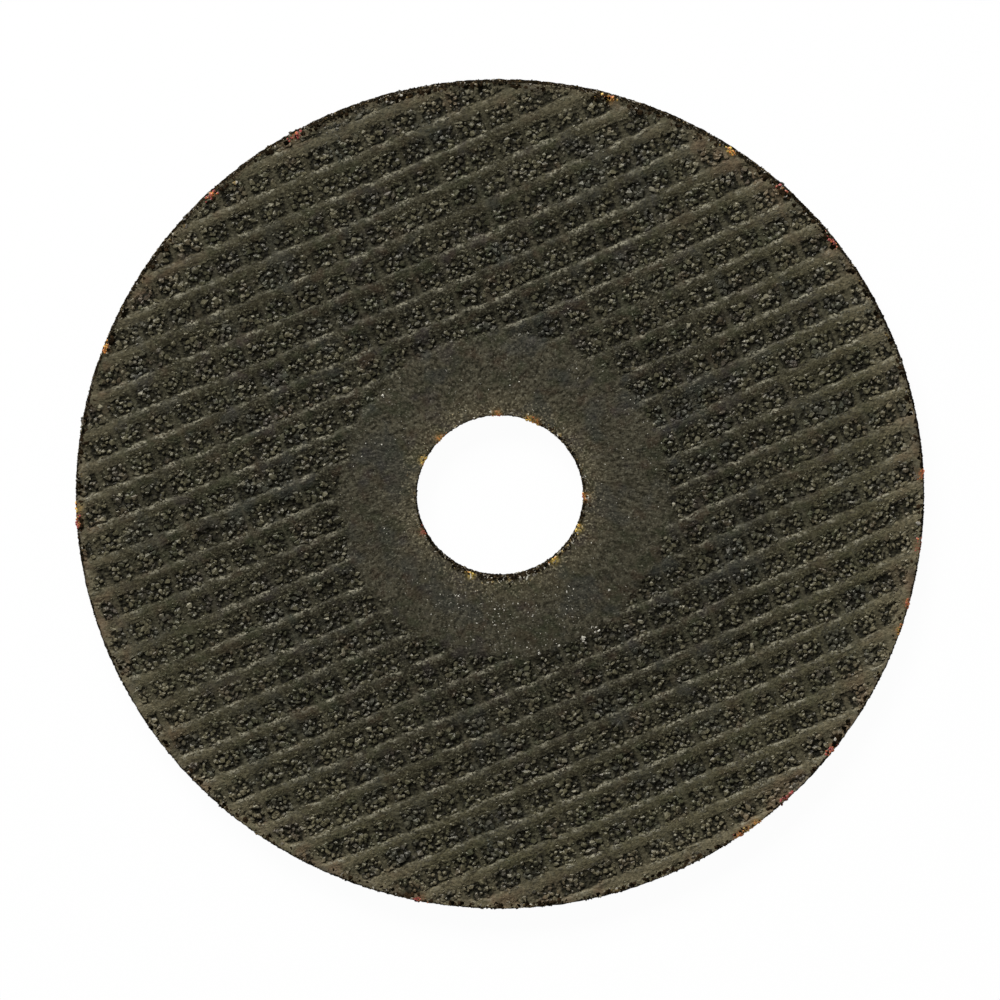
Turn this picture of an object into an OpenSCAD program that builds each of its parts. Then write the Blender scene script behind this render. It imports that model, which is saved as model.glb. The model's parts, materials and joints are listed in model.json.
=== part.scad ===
// Resin bonded cut off wheel: one pressed disc with the ridges of a woven glass net on both faces,
// a smooth ring round the arbor bore for the clamping flanges and a smooth band at the cutting edge.
// The wheel lies on its lower face, with its axis along Z and the bore's axis at the origin.

/* [Wheel] */
// Outside diameter of the wheel
wheel_d = 115; // [75:1:180]
// Thickness over the two faces
wheel_t = 2.5; // [1.6:0.1:6]
// Diameter of the arbor bore
bore_d = 22.23; // [10:0.01:25.4]

/* [Hub ring] */
// Outside diameter of the smooth ring that the flanges clamp
hub_d = 44.5; // [36:0.5:60]

/* [Cutting edge] */
// Width of the smooth band inside the cutting edge
rim_w = 1.1; // [0.8:0.1:4]
// Width of the bevel where each face meets the cutting edge
bevel_w = 0.3; // [0.05:0.05:0.5]
// Depth of that bevel along the axis
bevel_t = 0.25; // [0.05:0.05:0.4]

/* [Glass net] */
// Depth of the warp crowns below the hub ring and the rim band
net_sink = 0.05; // [0.02:0.01:0.1]
// Depth of the open cells below the warp crowns, at their middle
cell_depth = 0.3; // [0.2:0.01:0.4]
// Spacing of the warp yarns
warp_pitch = 4.24; // [3.2:0.01:6]
// Direction of the warp yarns, anticlockwise from X
warp_angle = 23.3; // [0:0.1:60]
// Offset of the middle warp yarn from the axis
warp_offset = 0.28; // [-1.5:0.01:1.5]
// Width of the crown of a warp ridge
warp_crown_w = 0.8; // [0.5:0.05:1.1]
// Width of a warp ridge at the bottom of the cells
warp_foot_w = 1.7; // [1.3:0.05:2]
// Spacing of the weft yarns
weft_pitch = 4.13; // [3.2:0.01:6]
// Direction of the weft yarns, anticlockwise from X
weft_angle = 111.1; // [75:0.1:150]
// Offset of the middle weft yarn from the axis
weft_offset = 0.4; // [-1.5:0.01:1.5]
// Depth of the weft crests below the warp crowns
weft_drop = 0.07; // [0.03:0.01:0.15]

/* [Hidden] */

wheel_colour = "#403d32";
arc_faces = 72;

wheel_r = wheel_d / 2;
hub_r = hub_d / 2;
bore_r = bore_d / 2;
// the woven disc ends halfway across the rim band, inside the band's solid
net_r = wheel_r - rim_w / 2;
// the warp ridges reach this far below the bottom of the cells, inside the weft's solid
warp_root = 0.05;
// the cutter for the bore stands out by this much at both faces
bore_overrun = 1;

function flatten(lists) = [for (list = lists) for (item = list) item];

function reversed(list) = [for (i = [len(list) - 1:-1:0]) list[i]];

// Middles of the yarns that cross the wheel, from one side to the other
function yarn_middles(pitch, offset) =
    let (count = ceil(wheel_r / pitch) + 1)
    [for (i = [-count:count]) i * pitch + offset];

// Lower outline of the warp: a flat crown with straight flanks at each yarn
function warp_outline() =
    let (
        flank_run = (warp_foot_w - warp_crown_w) / 2 * (cell_depth + warp_root) / cell_depth,
        root = net_sink + cell_depth + warp_root
    )
    flatten([
        for (m = yarn_middles(warp_pitch, warp_offset)) [
            [m - warp_crown_w / 2 - flank_run, root],
            [m - warp_crown_w / 2, net_sink],
            [m + warp_crown_w / 2, net_sink],
            [m + warp_crown_w / 2 + flank_run, root]
        ]
    ]);

// Lower outline of the weft: a crest at each yarn and a valley in the middle of each cell
function weft_outline() =
    flatten([
        for (m = yarn_middles(weft_pitch, weft_offset)) [
            [m - weft_pitch / 2, net_sink + cell_depth],
            [m, net_sink + weft_drop],
            [m + weft_pitch / 2, net_sink + cell_depth]
        ]
    ]);

// A slab with parallel ridges on both faces: a lower outline and its mirror image, drawn along the yarns
module ridged_slab(lower, angle) {
    upper = [for (p = reversed(lower)) [p.x, wheel_t - p.y]];
    rotate([0, 0, angle - 90])
        rotate([90, 0, 0])
            linear_extrude(height = wheel_d, center = true)
                polygon(concat(lower, upper));
}

// The open mesh between hub ring and rim: warp ridges that stand over the lower weft crests
module woven_disc() {
    intersection() {
        union() {
            ridged_slab(warp_outline(), warp_angle);
            ridged_slab(weft_outline(), weft_angle);
        }
        cylinder(h = wheel_t, r = net_r, $fn = arc_faces);
    }
}

// The band at the cutting edge, bevelled to both faces
module rim_band() {
    inner_r = wheel_r - rim_w;
    rotate_extrude($fn = arc_faces)
        polygon([
            [inner_r, 0],
            [wheel_r - bevel_w, 0],
            [wheel_r, bevel_t],
            [wheel_r, wheel_t - bevel_t],
            [wheel_r - bevel_w, wheel_t],
            [inner_r, wheel_t]
        ]);
}

module hub_ring() {
    cylinder(h = wheel_t, r = hub_r, $fn = arc_faces);
}

module arbor_bore() {
    translate([0, 0, -bore_overrun])
        cylinder(h = wheel_t + 2 * bore_overrun, r = bore_r, $fn = arc_faces);
}

module cutoff_wheel() {
    color(wheel_colour)
        difference() {
            union() {
                woven_disc();
                rim_band();
                hub_ring();
            }
            arbor_bore();
        }
}

cutoff_wheel();
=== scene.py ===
"""A cut off wheel lying flat: woven glass net under resin, abrasive grain in its cells, frayed yarn ends."""

import json
import math
from enum import IntEnum

import bpy
import numpy as np
from mathutils import Matrix, Vector, geometry


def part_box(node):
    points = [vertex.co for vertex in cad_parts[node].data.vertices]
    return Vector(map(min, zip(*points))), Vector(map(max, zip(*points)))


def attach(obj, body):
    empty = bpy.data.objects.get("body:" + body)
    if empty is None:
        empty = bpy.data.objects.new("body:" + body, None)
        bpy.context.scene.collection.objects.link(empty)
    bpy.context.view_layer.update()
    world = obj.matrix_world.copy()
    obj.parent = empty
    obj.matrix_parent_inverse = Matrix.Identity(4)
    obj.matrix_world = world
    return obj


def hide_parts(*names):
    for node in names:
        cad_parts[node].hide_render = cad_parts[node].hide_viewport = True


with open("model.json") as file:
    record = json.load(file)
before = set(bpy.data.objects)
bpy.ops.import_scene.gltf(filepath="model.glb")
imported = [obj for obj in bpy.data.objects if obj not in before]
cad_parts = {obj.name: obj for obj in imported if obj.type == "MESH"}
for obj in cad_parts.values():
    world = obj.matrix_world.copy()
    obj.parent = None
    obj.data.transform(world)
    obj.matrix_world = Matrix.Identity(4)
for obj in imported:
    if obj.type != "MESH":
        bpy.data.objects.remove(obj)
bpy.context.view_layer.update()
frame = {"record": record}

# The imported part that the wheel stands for, with its sizes in millimetres
MM = 0.001
NODE = "cutoff_wheel"
BODY = "root"
low_corner, high_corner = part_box(NODE)
WHEEL_R = (high_corner.y - low_corner.y) / 2 / MM
WHEEL_T = (high_corner.z - low_corner.z) / MM
BORE_R = next(m["dims"]["r_mm"] for m in frame["record"]["mounts"] if m["name"] == "arbor_bore")

# The smooth ring round the bore and the smooth band at the rim, with the half widths over which they fade,
# the waves of their ragged edges, each with its height and its size, and the bevel at the cutting edge
HUB_R = 22.25
HUB_SHIFT = (0.6, 0.0)
HUB_FADE = 0.6
HUB_WAVES = (0.6, 2.6)
HUB_FINE_WAVES = (0.3, 0.9)
RIM_W = 0.75
RIM_FADE = 0.35
RIM_WAVES = (0.7, 2.0)
EDGE_BEVEL_W = 0.3
EDGE_BEVEL_T = 0.25

# The glass net: spacing, direction and place of its yarns, with the start and end of their sides' slopes
WARP_PITCH = 4.24
WARP_ANGLE = math.radians(23.3)
WARP_OFFSET = 0.28
WARP_STEEP_SIDE = (0.34, 0.86)
WARP_GENTLE_SIDE = (0.5, 1.12)
WEFT_PITCH = 4.13
WEFT_ANGLE = math.radians(111.1)
WEFT_OFFSET = 0.4
WEFT_SIDE = (0.12, 0.5)
WEFT_CREST = (0.04, 0.22)
WEFT_SHADE = (0.4, 0.8)

# How far the weft rises out of the cells, the size of its patches, and the strengths of a patch between
# which it rises
WEFT_RISE = 0.8
WEFT_PATCH_SIZE = 3.0
WEFT_PATCH_RISE = (-1.2, 0.3)

# Depth of the net below the ring and the band, depth of its cells, and the waves of that depth
# and of the whole face
NET_SINK = 0.05
CELL_DEPTH = 0.31
DEPTH_WAVES = (0.25, 4.5)
SWELL = (0.015, 1.6)

# How the pressed net strays from straight yarns: small waves, then the bows of the yarns, as factors of
# 1, x, y, x * x, x * y and y * y, with x and y in units of the span
WANDER = (0.12, 9.0)
WARP_BOW = (0.345, -0.075, -0.09, -0.781, -0.369, -0.307)
WEFT_BOW = (-0.3, 0.261, 0.134, 0.082, 0.04, 0.165)
BOW_SPAN = 50.0

# The waves by which the edges of a yarn fray, and the share of them that the weft's crest follows
FRAY = (0.15, 0.95)
FINE_FRAY = (0.2, 0.55)
CREST_FRAY = 0.5

# The worn lip of a warp yarn, with a painted highlight on its worn stretches and painted shade on the
# others:
# where it starts and ends on the yarn's steep side, how long its worn stretches are, in which patches, where
# they set in, and how near to a weft yarn, and by what share, the lip fades
LIP_START = (0.06, 0.3)
LIP_END = (0.62, 0.88)
LIP_SIZE = 1.2
LIP_PATCHES = (0.4, 9.0)
LIP_WEAR_AND_HIGHLIGHT = (-0.5, 0.4)
LIP_BRIDGE = (0.3, 0.95)
LIP_BRIDGE_SHARE = 0.85

# Lines of the net's mesh: across the steep side of a warp yarn, with the steps of each from one weft yarn
# to the next, across the gentle side, and across a weft yarn
STEEP_LINES = (-0.98, -0.8, -0.64, -0.48, -0.3)
STEEP_STEPS = 10
GENTLE_LINES = (0.1, 0.6, 1.02, 2.0)
WEFT_LINES = (-0.5, -0.2, 0.0, 0.2, 0.5, 1.25, 2.06, 2.88)

# Rings of the mesh, by their distances from the hub ring's edge and from the bore, the points of a ring,
# how far the net's lines stay from the hub ring's edge and from the bevel, and the rows of the walls
HUB_EDGE_RINGS = (-0.8, -0.4, 0.0, 0.4, 0.8)
HUB_RINGS = (1.0, 1.5, 2.2, 4.0, 7.0)
BORE_RINGS = (0.7, 0.45, 0.22, 0.0)
RIM_STEPS = 800
HUB_STEPS = 400
BORE_STEPS = 360
HUB_GAP = 0.9
BEVEL_GAP = 0.12
WALL_ROWS = 5

# How far a point may lie off the ring that it belongs to, how near two points of a face count as one,
# and the angle up to which neighbouring faces are shaded as one
WELD = 0.01
MESH_TOLERANCE = 1e-7
SMOOTH_ANGLE = math.radians(50)

# The open cells: half sizes across the warp and across the weft, the radius of their corners,
# their shift from the middle between two warp yarns and the waves of their ragged outline
CELL_HALF_WARP = 1.66
CELL_HALF_WEFT = 1.8
CELL_CORNER = 0.6
CELL_SHIFT = -0.1
CELL_RAGGED = 0.46
CELL_WAVES = (0.6, 1.1)
CELL_FINE_WAVES = (0.4, 0.5)
CELL_BROAD_WAVES = (0.6, 5.0)

# The crushed grain that every copy comes from, at unit size, how the copies differ from it, how flat those
# in the faces are, how far they stand over their middles, and the share of the spacing by which they scatter
GRAIN_R = 0.5
GRAIN_SIDES = 4
GRAIN_RINGS = 3
GRAIN_UPPER_RING = (0.1, 0.4)
GRAIN_STRETCH = (0.6, 1.3)
GRAIN_DENTS = (0.75, 1.15)
GRAIN_FLATNESS = 0.7
GRAIN_TOP = 0.52
SCATTER = 0.5

# Tones: the spread of those of coated grain, with its gain, the least tone of bare cut grain, whose paleness
# partly paints glints, and the most of dark cut grain
TONE_SPREAD = (1.3, 5.0)
TONE_GAIN = 1.1
BARE_TONE = 0.66
DARK_TONE = 0.5

# Coarse grain in the cells: spacing, sizes, share, how far, by its size, it keeps from a cell's edge,
# how much the ring or the band may cover it, and how deep it lies
COARSE_SPACING = 0.64
COARSE_SIZE = (0.56, 1.2)
COARSE_SHARE = 0.9
COARSE_CLEAR = 0.22
COARSE_COVER = 0.5
COARSE_SINK = (-0.1, 0.14)

# Fine grain at the edges of the cells and on the worn lips: spacing, sizes, the middle and half width of
# its strip along a cell's edge, its share there, how much of it may be covered, how deep it lies,
# its share on a lip and how strongly the lip is worn and given its painted highlight there
FINE_SPACING = 0.54
FINE_SIZE = (0.29, 0.58)
FINE_SHIFT = 0.05
FINE_REACH = 0.36
FINE_SHARE = 0.42
FINE_COVER = 0.7
FINE_SINK = (-0.08, 0.06)
LIP_SHARE = 0.46
LIP_STRENGTH = 0.3

# Grain on the cutting edge and on the bore's wall: spacing, sizes, and its rows' distances from the faces,
# how much smaller and deeper it is near a face, and the share of bare grain, whose paleness partly paints
# glints, with its patches
WALL_SPACING = 0.38
WALL_SIZE = (0.24, 0.54)
WALL_FIRST_ROW = 0.25
WALL_LAST_ROW = 0.15
WALL_JITTER = 0.2
WALL_CLEAR = 0.22
WALL_NEAR_FACE = (0.5, 0.25)
WALL_SHRINK = 0.35
WALL_DEPTH = 0.6
WALL_FACE_INSET = 0.1
WALL_UNEVEN = 0.08
RIM_BARE = 0.26
BORE_BARE = 0.4
BARE_PATCHES = (0.25, 2.5)
WALL_BRIGHTEST = 0.75

# The walls under that grain: how near to a wall a point belongs to it, how far it is set back,
# and the waves of its grit, with the shift of their pattern along and across the wall
WALL_BAND = 0.02
WALL_INSET = 0.18
WALL_GRIT = (0.1, 0.45)
GRIT_SHIFT = (500, 50)

# Cut yarn ends: clock angle in degrees from the top of the picture, and hue from red (0) to yellow (1),
# then how far the ends lie from the rim and from the bore
RIM_ENDS = (
    (15, 0.5), (33, 0.7), (42, 0.05), (52, 0.05), (87, 0.25), (97, 0.0), (105, 0.2), (109, 0.45), (128, 0.1),
    (137, 0.0), (142.6, 0.7), (144.1, 0.55), (145.6, 0.3), (191, 0.0), (266.6, 0.05), (268.4, 0.75),
    (291, 0.5), (317, 0.25), (331, 0.0),
)
BORE_ENDS = (
    (358, 0.45), (20, 0.75), (25, 0.5), (90, 0.45), (112, 1.0), (140, 0.95), (200, 0.95), (245, 0.0),
    (296, 0.85), (315, 0.6),
)
RIM_END_INSET = 0.42
BORE_END_INSET = 0.4

# The stain that a yarn end leaves, and the depths below the upper face between which it fades
STAIN_SIZE = 0.65
STAIN_DEPTH = (0.9, 0.35)

# The crumbs at a yarn end: how many, how large, how far spread outwards and sideways, how flat, as chips and
# sparkles are too, how near to the walls, how deep they lie, and how far their hues stray
CRUMBS_PER_END = 24
CRUMB_SIZE = (0.18, 0.56)
CRUMB_SPREAD = (0.17, 0.6)
CRUMB_FLATNESS = 0.65
CRUMB_BORE_CLEAR = 0.2
CRUMB_RIM_CLEAR = 0.15
CRUMB_CELL_DROP = 0.1
CRUMB_SINK = 0.3
CRUMB_HUE_SPREAD = 0.25

# Broken grain on the edges of the bore and the rim: its sizes, the stretch of the bore with most of it,
# from one clock angle to another, how many chips lie there, all round the bore and round the rim,
# how far they reach from the edge, and the share of bare chips, whose paleness partly paints glints,
# with the brightest tone
BORE_CHIP_SIZE = (0.24, 0.8)
RIM_CHIP_SIZE = (0.3, 1.0)
CHIPPED_STRETCH = (18, 215)
CHIPS_IN_STRETCH = 900
CHIPS_AT_BORE = 300
CHIPS_AT_RIM = 3000
BORE_CHIP_REACH = 0.65
RIM_CHIP_REACH = 0.3
BORE_CHIP_BARE = (0.46, 0.92)
RIM_CHIP_BARE = (0.12, 0.8)

# How chips lie at an edge: set back by a share of their size, then scattered by a mean and a most reach,
# on the upper face by a share, and sunk in either face by shares of their size
CHIP_INSET = 0.62
CHIP_SCATTER = 0.4
CHIP_SCATTER_LIMIT = 2
CHIPS_ABOVE = 0.6
CHIP_SINK_ABOVE = 0.25
CHIP_SINK_BELOW = 0.4

# The clusters of chips round the rim, narrow and wide, each with its height and length, and the thinning
CHIP_CLUSTERS = (1.0, 2.4)
CHIP_WIDE_CLUSTERS = (0.5, 9.0)
CHIP_THINNING = (-0.7, 0.5)

# The dark worn edges: how far they reach in from the rim, with the height and size of their patches,
# and how far, and with what strength, from the bore
RIM_EDGE_REACH = (0.7, 0.2)
RIM_EDGE_PATCHES = (0.25, 2.2)
BORE_EDGE_START = 0.15
BORE_EDGE_REACH = 0.6
BORE_CHIPPED_REACH = 1.2
BORE_EDGE_SHARE = 0.8

# Bare grain on the hub ring, pale enough to paint sparkling glints: how many, in how many clusters of what
# size, its sizes and how rare the large ones are, the stretch with most of it, from one clock angle to
# another, the share of the clusters there, how far it keeps from the bore, how it lies in the faces, and its
# tones
SPARKLES = 1500
SPARKLE_CLUSTERS = 170
SPARKLE_CLUSTER_SIZE = 1.3
SPARKLE_SIZE = (0.13, 0.5)
SPARKLE_RARITY = 2.5
SPARKLE_STRETCH = (146, 208)
SPARKLE_STRETCH_SHARE = 0.42
SPARKLE_CLUSTER_CLEAR = 0.8
SPARKLE_CLEAR = 0.6
SPARKLE_COVER = 0.5
SPARKLES_ABOVE = 0.5
SPARKLE_SINK_ABOVE = 0.25
SPARKLE_SINK_BELOW = 0.3
SPARKLE_TONES = (0.62, 1.0)

# Pale flakes at the edge of the hub ring: clock angle and radius of each, then how many grains of what sizes
HUB_FLAKES = ((145, 22.2), (150, 22.6), (166, 22.0))
GRAINS_PER_FLAKE = 9
FLAKE_GRAIN_SIZE = (0.25, 0.6)
FLAKE_SPREAD = 0.35

# Sizes of the finishes' patterns, and the depths of their bumps
BLOTCH_SIZE = 3.5
LUMP_SIZE = 0.75
LUMP_DEPTH = 0.2
STREAK_SIZE = 0.4
STREAK_STRETCH = (0.6, 1, 1)
STREAK_DEPTH = 0.05
FELT_SIZE = 0.38
FELT_DEPTH = 0.05
FLECK_SIZE = 0.26
LIP_FLECK_DEPTH = 0.12
GRIT_SIZE = 0.16
GRIT_DEPTH = 0.03
GRANULES_PER_MM = 2.0
GRANULE_DEPTH = 0.2
CHIP_SIZE = 0.14
CUT_CHIP_DEPTH = 0.05
COATED_CHIP_DEPTH = 0.055
POWDER_SIZE = 0.34
RUST_SIZE = 5.0
GREEN_SIZE = 3.4
RED_SIZE = 3.0
VIOLET_SIZE = 3.8
GREY_SIZE = 5.0
CUT_STAIN_SIZE = 0.8

# Turns that set patterns of like sizes apart
RED_TURN = 1.0
GREY_TURN = 2.0
VIOLET_TURN = 0.5
RUST_TURN = 3.0

# Radii between which the finishes change from the bore to the rim
BORE_FLECKS = (15.5, 12.0)
WARM_FELT = (17.5, 12.0)
STAINED_AT_BORE = (14.5, 13.0)
DUST_START = (26.0, 57.0)
PALE_LUMPS = (49.0, 57.0)
RIM_DUST_START = (50.0, 57.0)
RUST_START = (52.0, 56.5)
STAINED_AT_RIM = (50.0, 54.0)

# The difference of x and y from the side where the wheel is least pale to the side where it is palest
PALER_SIDE = (-60.0, 60.0)

# Depths below a face between which the coated grain turns black, a painted shade deep between the yarns
GRAIN_SHADOW = (0.36, 0.12)

# The studio
FLOOR_SIZE = 6
FLOOR_WHITE = (0.95, 0.95, 0.95, 1)
FLOOR_ROUGHNESS = 0.9
FLOOR_GLOW = 0.97
WHITE = (1, 1, 1, 1)
KEY_PLACE = (-0.58, 1.51, 0.78)
KEY_SIZE = (1.3, 0.6)
KEY_POWER = 64.0
SKY_STRENGTH = 0.17
CAMERA_LEAN = math.radians(12.9)
CAMERA_DISTANCE = 5.0
CAMERA_SENSOR = 36
CAMERA_AIM_Y = -0.71
IMAGE_WIDTH = 1000
PIXELS_PER_MM = 7.393

normal_warp = np.array([math.sin(WARP_ANGLE), -math.cos(WARP_ANGLE)])
normal_weft = np.array([math.sin(WEFT_ANGLE), -math.cos(WEFT_ANGLE)])


class Seed(IntEnum):
    """The seed of each random field and of each random draw."""

    WANDER_X = 1
    WANDER_Y = 2
    HUB_WAVES = 3
    HUB_FINE_WAVES = 4
    RIM_WAVES = 5
    DEPTH_WAVES = 6
    SWELL = 7
    WALL_GRIT = 8
    CELL_WAVES = 9
    CELL_FINE_WAVES = 10
    COARSE_GRAIN = 11
    RIM_GRAIN = 12
    BORE_GRAIN = 13
    FINE_GRAIN = 14
    FRAY = 15
    CELL_BROAD_WAVES = 16
    LIP_WEAR_AND_HIGHLIGHT = 17
    FINE_FRAY = 18
    WEFT_RISE = 19
    LIP_PATCHES = 20
    CRUMBS = 21
    BORE_CHIPS = 22
    RIM_EDGE_PATCHES = 23
    BARE_PATCHES = 25
    SPARKLES = 26
    RIM_CHIPS = 27
    CHIP_CLUSTERS = 28
    CHIP_WIDE_CLUSTERS = 29


def drift(x, y, size, seed, cells=64):
    """A smooth random field from -1 to 1 that changes over the given size."""
    table = np.random.default_rng(seed).uniform(-1, 1, (cells, cells))
    u, v = x / size, y / size
    i, j = np.floor(u).astype(int), np.floor(v).astype(int)
    fu, fv = u - i, v - j
    fu, fv = fu * fu * (3 - 2 * fu), fv * fv * (3 - 2 * fv)

    def corner(a, b):
        return table[(i + a) % cells, (j + b) % cells]

    low = corner(0, 0) * (1 - fu) + corner(1, 0) * fu
    high = corner(0, 1) * (1 - fu) + corner(1, 1) * fu
    return low * (1 - fv) + high * fv


def waves(xy, height, size, seed):
    """A smooth random field over the points of a face, up to the given height."""
    return height * drift(*xy.T, size, seed)


def smooth_step(value, start, end):
    """0 before start, 1 after end, and a soft rise between them."""
    t = np.clip((value - start) / (end - start), 0, 1)
    return t * t * (3 - 2 * t)


def wander(xy):
    """How far the pressed net strays from straight yarns: a bow across the wheel, and waves."""
    stray = np.stack([waves(xy, *WANDER, Seed.WANDER_X), waves(xy, *WANDER, Seed.WANDER_Y)], 1)
    u, v = xy.T / BOW_SPAN
    powers = np.stack([np.ones(len(u)), u, v, u * u, u * v, v * v], 1)
    return stray + np.outer(powers @ WARP_BOW, normal_warp) + np.outer(powers @ WEFT_BOW, normal_weft)


def fold(distance, pitch, offset):
    """Distance from the middle of the nearest yarn."""
    return (distance - offset + pitch / 2) % pitch - pitch / 2


def from_yarns(xy):
    """Distances from the middles of the nearest warp yarn and the nearest weft yarn."""
    straight = xy - wander(xy)
    warp = fold(straight @ normal_warp, WARP_PITCH, WARP_OFFSET)
    weft = fold(straight @ normal_weft, WEFT_PITCH, WEFT_OFFSET)
    return warp, weft


def yarn(distance, side, other_side):
    """Height of a yarn, 1 on its crown and 0 past the slopes of its two sides."""
    return 1 - np.where(distance < 0, smooth_step(-distance, *side), smooth_step(distance, *other_side))


def hub_mask(xy):
    """1 on the smooth ring round the bore, which fades out in a ragged edge."""
    spot = xy - HUB_SHIFT
    ragged = HUB_R + waves(spot, *HUB_WAVES, Seed.HUB_WAVES)
    edge = ragged + waves(spot, *HUB_FINE_WAVES, Seed.HUB_FINE_WAVES)
    return 1 - smooth_step(np.hypot(*spot.T), edge - HUB_FADE, edge + HUB_FADE)


def rim_mask(xy):
    """1 on the smooth band inside the cutting edge."""
    edge = WHEEL_R - RIM_W + waves(xy, *RIM_WAVES, Seed.RIM_WAVES)
    return smooth_step(np.hypot(*xy.T), edge - RIM_FADE, edge + RIM_FADE)


def net_mask(xy):
    """1 on the net, which neither the hub ring nor the rim band covers."""
    return (1 - hub_mask(xy)) * (1 - rim_mask(xy))


def fray(xy):
    """How far the ragged edge of a yarn lies from its straight run."""
    return waves(xy, *FRAY, Seed.FRAY) + waves(xy, *FINE_FRAY, Seed.FINE_FRAY)


def cell_mask(xy):
    """1 at the bottom of the net's open cells and 0 on its yarns, which fall away gently on one side."""
    warp, weft = from_yarns(xy)
    ragged = fray(xy)
    over = yarn(warp + ragged, WARP_STEEP_SIDE, WARP_GENTLE_SIDE)
    under = yarn(weft - ragged, WEFT_SIDE, WEFT_SIDE)
    rise = WEFT_RISE * smooth_step(drift(*xy.T, WEFT_PATCH_SIZE, Seed.WEFT_RISE), *WEFT_PATCH_RISE)
    return (1 - over) * (1 - rise * under)


def inside_cell(xy):
    """Depth of a point inside the rounded, ragged outline of the nearest cell, negative on the yarns."""
    warp, weft = from_yarns(xy)
    u = np.abs(fold(warp, WARP_PITCH, WARP_PITCH / 2 + CELL_SHIFT)) - (CELL_HALF_WARP - CELL_CORNER)
    v = np.abs(fold(weft, WEFT_PITCH, WEFT_PITCH / 2)) - (CELL_HALF_WEFT - CELL_CORNER)
    outside = np.hypot(np.maximum(u, 0), np.maximum(v, 0)) + np.minimum(np.maximum(u, v), 0)
    ragged = waves(xy, *CELL_WAVES, Seed.CELL_WAVES) + waves(xy, *CELL_FINE_WAVES, Seed.CELL_FINE_WAVES)
    ragged = ragged + waves(xy, *CELL_BROAD_WAVES, Seed.CELL_BROAD_WAVES)
    return CELL_CORNER - outside + CELL_RAGGED * ragged


def weft_masks(xy):
    """1 on the thin crest of the weft yarns, and 1 on all of the weft between the warp yarns."""
    warp, weft = from_yarns(xy)
    away = np.abs(weft - CREST_FRAY * fray(xy))
    bare = 1 - yarn(warp, WARP_STEEP_SIDE, WARP_GENTLE_SIDE)
    return 1 - smooth_step(away, *WEFT_CREST), bare * (1 - smooth_step(away, *WEFT_SHADE))


def lip_masks(xy):
    """1 on the worn stretches, which get a painted highlight, and 1 on the others, which get painted shade,
    of the lip along the steep side of the warp yarns.
    """
    warp, weft = from_yarns(xy)
    away = -warp - fray(xy)
    lip = smooth_step(away, *LIP_START) * (1 - smooth_step(away, *LIP_END))
    wear_and_highlight = drift(*xy.T, LIP_SIZE, Seed.LIP_WEAR_AND_HIGHLIGHT) + waves(xy, *LIP_PATCHES, Seed.LIP_PATCHES)
    worn_highlight = smooth_step(wear_and_highlight, *LIP_WEAR_AND_HIGHLIGHT)
    bridge = 1 - LIP_BRIDGE_SHARE * (1 - smooth_step(np.abs(weft), *LIP_BRIDGE))
    shown = lip * bridge * net_mask(xy)
    return shown * worn_highlight, shown * (1 - worn_highlight)


def relief(xy):
    """Height of the face above the middle of the wheel's thickness."""
    depth = CELL_DEPTH * (1 + waves(xy, *DEPTH_WAVES, Seed.DEPTH_WAVES))
    swell = waves(xy, *SWELL, Seed.SWELL) - SWELL[0]
    return WHEEL_T / 2 + swell - net_mask(xy) * (NET_SINK + depth * cell_mask(xy))


def bevel_drop(radius):
    """How far the bevel at the cutting edge lies below the face."""
    return EDGE_BEVEL_T * smooth_step(radius, WHEEL_R - EDGE_BEVEL_W, WHEEL_R)


def clock_point(clock, radius):
    """A point of a face by its clock angle, in degrees from the top of the picture."""
    turn = math.radians(90 - clock)
    return np.array([radius * math.cos(turn), radius * math.sin(turn)])


def yarn_ends():
    """Place and hue of every cut yarn end that shows."""
    at_rim = [(clock_point(clock, WHEEL_R - RIM_END_INSET), hue) for clock, hue in RIM_ENDS]
    at_bore = [(clock_point(clock, BORE_R + BORE_END_INSET), hue) for clock, hue in BORE_ENDS]
    return at_rim + at_bore


def stains(xy):
    """Strength and hue of the stain that each yarn end leaves in the resin round it."""
    strength = np.zeros(len(xy))
    hues = np.zeros(len(xy))
    for middle, hue in yarn_ends():
        share = np.exp(-(((xy - middle) / STAIN_SIZE) ** 2).sum(1))
        hues = np.where(share > strength, hue, hues)
        strength = np.maximum(strength, share)
    return strength, hues


def dark_edges(xy, radius):
    """1 on the dark worn edges at the rim and at the bore, which reach further where the bore is chipped."""
    patchy = 1 - RIM_EDGE_PATCHES[0] + waves(xy, *RIM_EDGE_PATCHES, Seed.RIM_EDGE_PATCHES)
    at_rim = smooth_step(radius, WHEEL_R - RIM_EDGE_REACH[0], WHEEL_R - RIM_EDGE_REACH[1]) * patchy
    clock = np.degrees(np.arctan2(xy[:, 0], xy[:, 1])) % 360
    chipped = (clock > CHIPPED_STRETCH[0]) & (clock < CHIPPED_STRETCH[1])
    reach = np.where(chipped, BORE_CHIPPED_REACH, BORE_EDGE_REACH)
    at_bore = 1 - smooth_step(radius, BORE_R + BORE_EDGE_START, BORE_R + reach)
    return np.maximum(at_rim, BORE_EDGE_SHARE * at_bore)


def ring(radius, steps):
    """Points on a circle round the bore's axis."""
    turn = np.linspace(0, 2 * np.pi, steps, endpoint=False)
    return np.stack([radius * np.cos(turn), radius * np.sin(turn)], 1)


def yarn_lines(pitch, offset, lines):
    """Places of the mesh lines that follow one set of yarns across the wheel."""
    count = int(WHEEL_R / pitch) + 2
    return np.concatenate([k * pitch + offset + np.array(lines) for k in range(-count, count + 1)])


def crossings(across_warp, across_weft):
    """Points where lines along the warp yarns meet lines along the weft yarns."""
    warp, weft = np.meshgrid(
        yarn_lines(WARP_PITCH, WARP_OFFSET, across_warp), yarn_lines(WEFT_PITCH, WEFT_OFFSET, across_weft)
    )
    normals = np.stack([normal_warp, normal_weft])
    return np.stack([warp.ravel(), weft.ravel()], 1) @ np.linalg.inv(normals).T


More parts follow.
